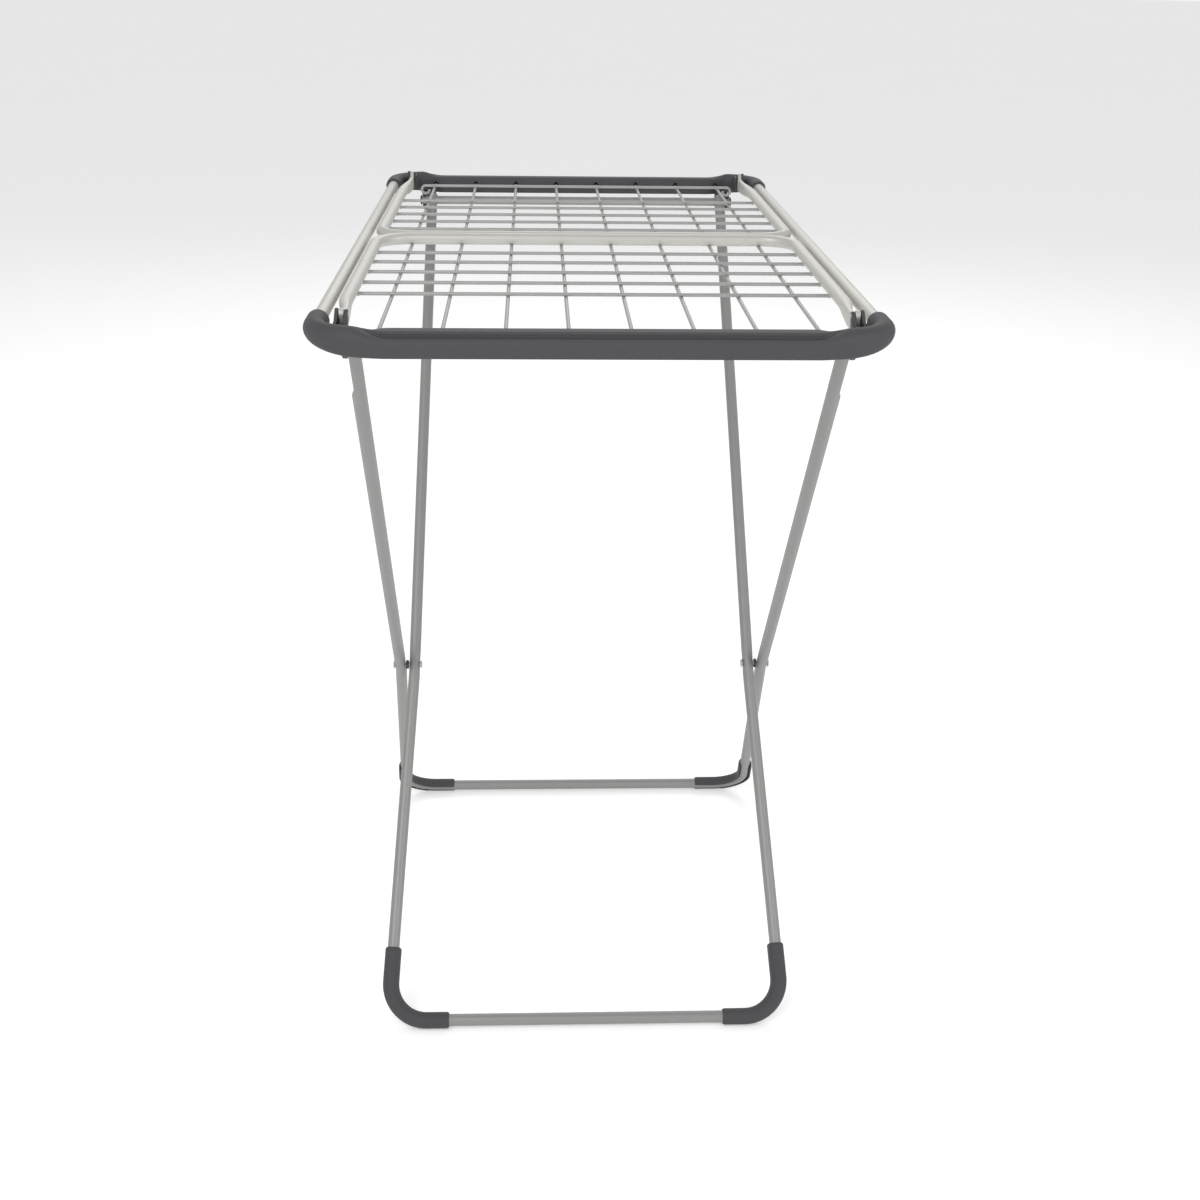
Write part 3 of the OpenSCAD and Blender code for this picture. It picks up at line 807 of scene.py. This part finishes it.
def wing_tube(sizes):
    """U-shaped wing tube for the +Y end: its section goes from a round tube to an upright blade, and its line
    moves inboard by an eased step as it does."""
    z, bar_y = WING_LOW[2] + RAIL_R, WING_LOW[1] + RAIL_R
    x = WING_HIGH[0] - RAIL_R
    blade_x = (WING_PIN_LOW[0] + WING_PIN_HIGH[0]) / 2
    end_y = WING_PIN[1] - sizes.blade_run + 2
    corners = [(x, end_y, z), (x, bar_y, z), (-x, bar_y, z), (-x, end_y, z)]
    path, _ = spaced(bent_path(corners, [sizes.corner_radius] * 2, steps=22), 4.0)
    flat = smooth((path[:, 1] - (end_y - sizes.taper)) / (sizes.taper - 2))
    path[:, 0] -= np.sign(path[:, 0]) * (x - blade_x) * flat
    flat = flat[:, None]
    width = RAIL_R + (sizes.blade_thickness / 2 - RAIL_R) * flat
    height = RAIL_R + (sizes.blade_height / 2 - RAIL_R) * flat
    section = ring(width, height, sides=40, power=2 + 3 * flat)
    return Skin().add(carry(path, section, (0, 0, 1))), z, x


def blade_nose(sizes, z):
    """The flat end of the blade, rounded round the pin."""
    blade_x = (WING_PIN_LOW[0] + WING_PIN_HIGH[0]) / 2
    pin_y, pin_z = WING_PIN[1:]
    low, top = z - sizes.blade_height / 2, z + sizes.blade_height / 2
    start = pin_y - sizes.blade_run
    outline = np.vstack(
        [
            [(start, low + 0.4), (pin_y - 2, low + 0.4)],
            arc((pin_y - 2, low + 4.4), 4, -60, 0, 3),
            arc((pin_y, pin_z), 5.5, -15, 140, 10),
            [(pin_y - 9, top - 0.3), (start, top - 0.3)],
        ]
    )
    half = sizes.blade_thickness / 2
    return plate(outline, blade_x - half, blade_x + half, 1.1)


class RACK_OT_wings(Operator):
    """Builds the two folding wings: tube frames with flattened ends, their wires and welds"""

    bl_idname = "rack.wings"
    bl_label = "Wings"

    def execute(self, context):
        sizes, wires = context.scene.rack_wings, context.scene.rack_wires
        rows = np.linspace(WING_WIRES_LOW[1] + WIRE_R, WING_WIRES_HIGH[1] - WIRE_R, wires.wing_count)
        wire_z = (WING_WIRES_LOW[2] + WING_WIRES_HIGH[2]) / 2
        for end in (-1, 1):
            tube, z, x = wing_tube(sizes)
            frame_skin = Skin().add(blade_nose(sizes, z)).both_sides().join(tube)
            reach = x - math.sqrt(RAIL_R**2 - (z - wire_z) ** 2)
            wire_skin = Skin()
            for y in rows:
                wire_skin.add(straight((-reach - 1, y, wire_z), (reach + 1, y, wire_z), WIRE_R, 16))
                for side in (-1, 1):
                    wire_skin.add(bead((side * (reach - 0.4), y, wire_z - 0.1), (2.4, wires.weld, 2.5)))
            frame_skin, wire_skin = frame_skin.placed(1, end), wire_skin.placed(1, end)
            wing = END_NAMES[end] + "_wing"
            fit_piece(wing + "_tube", frame_skin, "rail_paint", wing, [wing + "_frame"])
            fit_piece(wing + "_rungs", wire_skin, "wire_coat", wing, [wing + "_wires"])
        return {"FINISHED"}


# ---- Legs --------------------------------------------------------------------------------------------------


def leg_lean(sizes):
    """Lean of a leg frame from upright, and its lengths from the pivot to the foot bar and to the hinge."""
    drop = PIVOT[2] - sizes.foot_z
    lean = math.atan2(sizes.foot_reach, drop)
    return lean, drop / math.cos(lean), (LEG_PIN[2] - PIVOT[2]) / math.cos(lean)


def stand(points, lean):
    """Leans a frame drawn flat. Flat axes: across, up from the pivot, out of the plane."""
    x, up, out = np.moveaxis(points, -1, 0)
    y = -out * math.cos(lean) - up * math.sin(lean)
    return np.stack([x, y, -out * math.sin(lean) + up * math.cos(lean) + PIVOT[2]], -1)


def leg_corners(sizes, top_x, pivot_x, foot_x):
    """Corners of one leg: its top, the kink under the pivot, the foot, and the bar's middle."""
    _, foot_s, hinge_s = leg_lean(sizes)
    kink_s, top_s = -KINK_DROP, hinge_s + LEG_RUN_ON
    slope = (top_x - pivot_x) / hinge_s
    return [
        (pivot_x + slope * top_s, top_s, 0),
        (pivot_x + slope * kink_s, kink_s, 0),
        (foot_x, -foot_s, 0),
        (0, -foot_s, 0),
    ]


def leg_tube(sizes, places, crushed):
    """Bent leg tube in its own plane. Near the pivot the section is pressed in by 7% times a bell curve, and
    a crushed top loses the outer part of its section in an eased step."""
    right = leg_corners(sizes, *places)
    left = [(-x, s, n) for x, s, n in right]
    corners = left[:3] + right[:3][::-1]
    bends = [90, sizes.foot_bend, sizes.foot_bend, 90]
    path, _ = spaced(bent_path(corners, bends, steps=16), 7.0)
    _, _, hinge_s = leg_lean(sizes)
    section = np.broadcast_to(ring(sizes.radius, sides=32), (len(path), 32, 2)).copy()
    up = path[:, 1]
    press = 0.07 * np.exp(-((up / 11) ** 2))
    section[..., 0] *= (1 - press)[:, None]
    section[..., 1] *= (1 + press / 2)[:, None]
    if crushed:
        dent = smooth((up - (hinge_s - sizes.crush_run - 5)) / 9)[:, None]
        flat_side = np.maximum(section[..., 0], -CRUSHED_HALF)
        section[..., 0] += dent * (flat_side - section[..., 0])
    return carry(path, section, (0, 0, 1))


class RACK_OT_legs(Operator):
    """Builds the two leg frames and the inner frame's top bar"""

    bl_idname = "rack.legs"
    bl_label = "Legs"

    def execute(self, context):
        sizes = context.scene.rack_legs
        lean, _, _ = leg_lean(sizes)
        frames = {
            "outer": ((sizes.outer_top, sizes.outer_pivot, sizes.outer_foot), lean, True),
            "inner": ((sizes.inner_top, sizes.inner_pivot, sizes.inner_foot), -lean, False),
        }
        for name, (places, angle, crushed) in frames.items():
            skin = Skin().add(stand(leg_tube(sizes, places, crushed), angle))
            body, node = name + "_legs", name + "_leg_tube"
            fit_piece(node + "_painted", skin, "leg_paint", body, [node])
        middle, radius = (BAR_LOW + BAR_HIGH) / 2, (BAR_HIGH[2] - BAR_LOW[2]) / 2
        skin = Skin().add(straight((BAR_LOW[0], *middle[1:]), (BAR_HIGH[0], *middle[1:]), radius, 32))
        fit_piece("inner_leg_top_bar_painted", skin, "leg_paint", "inner_legs", ["inner_leg_top_bar"])
        return {"FINISHED"}


def pin_profile(low, high, radius, dome=0.6):
    """Profile of a plain pin with domed ends."""
    t = np.radians([80, 55, 30, 0])
    rise, size = dome * np.sin(t), radius * (0.1 + 0.9 * np.cos(t))
    return np.vstack([np.stack([low - rise, size], -1), np.stack([high + rise, size], -1)[::-1]])


def head_profile(low, high, radius, domed):
    """Profile of a domed head that swells towards the side named."""
    t = np.radians([0, 18, 36, 54, 70, 84])
    rise = (high - low) * (0.28 + 0.72 * np.sin(t))
    size = radius * np.cos(t) ** 0.8
    outline = np.vstack([[(0.0, radius * 0.96), (0.25, radius)], np.stack([rise, size], -1)])
    if domed > 0:
        return outline + (low, 0)
    return (outline * (-1, 1) + (high, 0))[::-1]


class RACK_OT_fixings(Operator):
    """Builds the rivets, spacers, hinge pins and bar caps"""

    bl_idname = "rack.fixings"
    bl_label = "Fixings"

    def execute(self, context):
        for side in (-1, 1):
            name = SIDE_NAMES[side]
            low, high = RIVET_LOW[0], RIVET_HIGH[0]
            axis = (0, PIVOT[1], PIVOT[2])
            rivet = Skin().add(turned(pin_profile(low + 1, high - 1, SHANK_RADIUS, 0.2), axis))
            rivet.add(turned(head_profile(low, low + RIVET_HEAD, RIVET_HEAD_RADIUS, -1), axis))
            rivet.add(turned(head_profile(high - RIVET_HEAD, high, RIVET_HEAD_RADIUS, 1), axis))
            spacer_profile = [
                (SPACER_LOW[0], SPACER_RADIUS - 0.8),
                (SPACER_LOW[0] + 0.5, SPACER_RADIUS),
                (SPACER_HIGH[0] - 0.5, SPACER_RADIUS),
                (SPACER_HIGH[0], SPACER_RADIUS - 0.8),
            ]
            spacer = Skin().add(turned(spacer_profile, axis))

            hinge_axis = (0, LEG_PIN[1], LEG_PIN[2])
            low, high = LEG_PIN_LOW[0], LEG_PIN_HIGH[0]
            hinge = Skin().add(turned(pin_profile(low + 1, high, SHANK_RADIUS, 0.5), hinge_axis))
            hinge.add(turned(head_profile(low, low + HINGE_HEAD, HINGE_HEAD_RADIUS, -1), hinge_axis))

            bar_axis = (0, *((BAR_LOW + BAR_HIGH) / 2)[1:])
            cap = Skin().add(turned(head_profile(CAP_END - CAP_THICKNESS, CAP_END, CAP_RADIUS, 1), bar_axis))
            stem = pin_profile(CAP_END - 12, CAP_END - 1.5, 4.9, 0.2)
            cap.add(turned(stem, bar_axis))

            parts = {
                "pivot_rivet": (rivet, "rivet_steel", "outer_legs"),
                "pivot_spacer": (spacer, "charcoal_plastic", "outer_legs"),
                "leg_hinge_pin": (hinge, "rivet_steel", "table"),
                "bar_cap": (cap, "charcoal_plastic", "inner_legs"),
            }
            for part, (skin, finish, body) in parts.items():
                node = name + "_" + part
                fit_piece(node + "_turned", skin.placed(side), finish, body, [node])
            for end in (-1, 1):
                pin = pin_profile(WING_PIN_LOW[0], WING_PIN_HIGH[0], WING_PIN_RADIUS, 0.5)
                skin = Skin().add(turned(pin, (0, WING_PIN[1], WING_PIN[2]), 20))
                node = "_".join([END_NAMES[end], name, "wing_pin"])
                fit_piece(node + "_turned", skin.placed(side, end), "rivet_steel", "table", [node])
        return {"FINISHED"}


# ---- Feet --------------------------------------------------------------------------------------------------


def clip_section(inner, outer, lip, steps=18):
    """Channel section of a clip, open at +b: the outer skin first, then the inner skin back."""
    skins = []
    for radius, first, last in ((outer, 180, 360), (inner, 360, 180)):
        bow = arc((0, 0), radius, first, last, steps)
        side = -1 if first == 180 else 1
        skins.append(np.vstack([[(side * radius, lip)], bow, [(-side * radius, lip)]]))
    return np.vstack(skins)


def foot_clip(sizes, legs, places):
    """Clip at the +X foot in the leg's own plane: the channel carried down the leg, round the bend and along
    the bar, its outer skin drawn in at both ends by a chamfer."""
    _, kink, foot, middle = (np.array(p, float) for p in leg_corners(legs, *places))
    u, v = unit(foot - kink), unit(middle - foot)
    cut = legs.foot_bend * math.tan(math.acos(float(u @ v)) / 2)
    start, end = foot - u * (cut + sizes.leg_run), foot + v * (cut + sizes.bar_run)
    path = bent_path([start, foot, end], [legs.foot_bend], steps=24)
    path, marks = spaced(path, 3.0, near_ends=(0.35, 0.8, 1.4, 2.2))
    inner, outer = legs.radius + CLIP_CLEARANCE, legs.radius + sizes.wall
    inset_by = sizes.chamfer * (1 - smooth(np.minimum(marks, marks[-1] - marks) / 2.0))
    section = np.stack([clip_section(inner, outer - d, legs.radius - 1 - d / 2) for d in inset_by])
    return carry(path, section, (0, 0, 1))


class RACK_OT_feet(Operator):
    """Builds the four plastic foot clips"""

    bl_idname = "rack.feet"
    bl_label = "Foot clips"

    def execute(self, context):
        sizes, legs = context.scene.rack_feet, context.scene.rack_legs
        lean, _, _ = leg_lean(legs)
        places = {
            -1: (legs.inner_top, legs.inner_pivot, legs.inner_foot),
            1: (legs.outer_top, legs.outer_pivot, legs.outer_foot),
        }
        bodies = {-1: "inner_legs", 1: "outer_legs"}
        for end in (-1, 1):
            grid = foot_clip(sizes, legs, places[end])
            grid = grid if end > 0 else grid * (1, 1, -1)
            standing = stand(grid, end * lean)
            standing[..., 2] = np.maximum(standing[..., 2], 0.0)
            for side in (-1, 1):
                skin = Skin().add(standing if end > 0 else standing[:, ::-1], ends="strip")
                node = "_".join([END_NAMES[end], SIDE_NAMES[side], "foot_clip"])
                fit_piece(node + "_moulded", skin.placed(side), "charcoal_plastic", bodies[end], [node], 30)
        return {"FINISHED"}


# ---- Stage -------------------------------------------------------------------------------------------------


def soft_light(name, place, target, size, power):
    """Square area light that faces its target."""
    light = bpy.data.lights.new(name, "AREA")
    light.shape, light.size, light.energy = "SQUARE", size, power
    lamp = bpy.data.objects.new(name, light)
    bpy.context.scene.collection.objects.link(lamp)
    away = unit(np.asarray(place, float) - np.asarray(target, float))
    side = unit(np.cross((0.0, 0.0, 1.0), away))
    turn = Matrix(np.column_stack([side, np.cross(away, side), away]).tolist()).to_4x4()
    turn.translation = place
    lamp.matrix_world = turn
    return lamp


def studio_floor(shade, reach=40.0, cells=12):
    """Pale floor: a square grid, its spacing growing with the cube of the distance from the rack."""
    t = np.linspace(-1, 1, cells + 1)
    x, y = np.meshgrid(reach * t**3, reach * t**3, indexing="ij")
    points = np.stack([x, y, np.full_like(x, -0.0004)], -1).reshape(-1, 3)
    index = np.arange(len(points)).reshape(x.shape)
    faces = np.stack([index[:-1, :-1], index[1:, :-1], index[1:, 1:], index[:-1, 1:]], -1).reshape(-1, 4)
    mesh = bpy.data.meshes.new("studio_floor")
    mesh.from_pydata(points.tolist(), [], faces.tolist())
    f = Finish("studio_floor")
    cloud = f.noise(0.8, 2.0)
    f.shade(
        Base_Color=f.blend(cloud, tone(shade, 0.99), tone(shade, 1.01)),
        Roughness=0.9,
        Emission_Color=(1.0, 1.0, 1.0, 1.0),
        Emission_Strength=0.22,
    )
    mesh.materials.append(f.material)
    floor = bpy.data.objects.new("studio_floor", mesh)
    bpy.context.scene.collection.objects.link(floor)


def studio_sky(strength):
    """Even light that is palest near the horizon."""
    world = bpy.data.worlds.new("studio_sky")
    world.use_nodes = True
    nodes, links = world.node_tree.nodes, world.node_tree.links
    background = nodes["Background"]
    place = nodes.new("ShaderNodeTexCoord")
    split = nodes.new("ShaderNodeSeparateXYZ")
    ramp = nodes.new("ShaderNodeMapRange")
    ramp.inputs["From Min"].default_value, ramp.inputs["From Max"].default_value = 0.0, 0.7
    ramp.inputs["To Min"].default_value, ramp.inputs["To Max"].default_value = 1.0, strength
    links.new(place.outputs["Generated"], split.inputs[0])
    links.new(split.outputs["Z"], ramp.inputs["Value"])
    links.new(ramp.outputs[0], background.inputs["Strength"])
    background.inputs["Color"].default_value = (1.0, 1.0, 1.0, 1.0)
    bpy.context.scene.world = world


class RACK_OT_stage(Operator):
    """Sets the floor, the soft lights and the camera"""

    bl_idname = "rack.stage"
    bl_label = "Stage"

    def execute(self, context):
        stage = context.scene.rack_stage
        pitch, yaw, roll = (math.radians(v) for v in (stage.pitch, stage.yaw, stage.roll))
        ahead = np.array([math.sin(yaw) * math.cos(pitch), math.cos(yaw) * math.cos(pitch), -math.sin(pitch)])
        right = np.array([math.cos(yaw), -math.sin(yaw), 0.0])
        down = np.cross(ahead, right)
        across = right * math.cos(roll) + down * math.sin(roll)
        below = -right * math.sin(roll) + down * math.cos(roll)
        turn = Matrix(np.column_stack([across, -below, -ahead]).tolist()).to_4x4()
        turn.translation = stage.camera
        lens = bpy.data.cameras.new("rack_camera")
        lens.lens, lens.sensor_width, lens.clip_start, lens.clip_end = stage.lens, 36.0, 0.05, 200.0
        camera = bpy.data.objects.new("rack_camera", lens)
        context.scene.collection.objects.link(camera)
        camera.matrix_world = turn
        context.scene.camera = camera
        context.scene.view_settings.view_transform = "Standard"
        middle = (0.0, 0.0, 0.5)
        soft_light("key_light", (-1.6, -2.6, 3.0), middle, 2.2, 62.0)
        soft_light("fill_light", (2.4, -2.2, 1.9), middle, 2.4, 34.0)
        soft_light("back_light", (0.3, 3.2, 3.2), middle, 2.6, 40.0)
        studio_floor(stage.floor)
        studio_sky(stage.sky)
        return {"FINISHED"}


# ---- Panel and registration --------------------------------------------------------------------------------

SETTINGS = {
    "rack_finishes": RackFinishes,
    "rack_mouldings": RackMouldings,
    "rack_wires": RackWires,
    "rack_wings": RackWings,
    "rack_legs": RackLegs,
    "rack_feet": RackFeet,
    "rack_stage": RackStage,
}

OPERATORS = (
    RACK_OT_finishes,
    RACK_OT_mouldings,
    RACK_OT_rails,
    RACK_OT_table_wires,
    RACK_OT_wings,
    RACK_OT_legs,
    RACK_OT_fixings,
    RACK_OT_feet,
    RACK_OT_stage,
)


class RACK_PT_panel(Panel):
    """Sidebar panel with the rack's settings and its building steps"""

    bl_idname = "RACK_PT_panel"
    bl_label = "Drying Rack"
    bl_space_type = "VIEW_3D"
    bl_region_type = "UI"
    bl_category = "Drying Rack"

    def draw(self, context):
        for operator in OPERATORS:
            self.layout.operator(operator.bl_idname)
        for name, group in SETTINGS.items():
            box = self.layout.box()
            box.label(text=group.__name__)
            for field in group.__annotations__:
                box.prop(getattr(context.scene, name), field)


def register():
    for cls in (*SETTINGS.values(), *OPERATORS, RACK_PT_panel):
        bpy.utils.register_class(cls)
    for name, group in SETTINGS.items():
        setattr(bpy.types.Scene, name, PointerProperty(type=group))


def unregister():
    for name in SETTINGS:
        delattr(bpy.types.Scene, name)
    for cls in reversed((*SETTINGS.values(), *OPERATORS, RACK_PT_panel)):
        bpy.utils.unregister_class(cls)


def main():
    register()
    for operator in OPERATORS:
        group, step = operator.bl_idname.split(".")
        getattr(getattr(bpy.ops, group), step)()


if __name__ == "__main__":
    main()
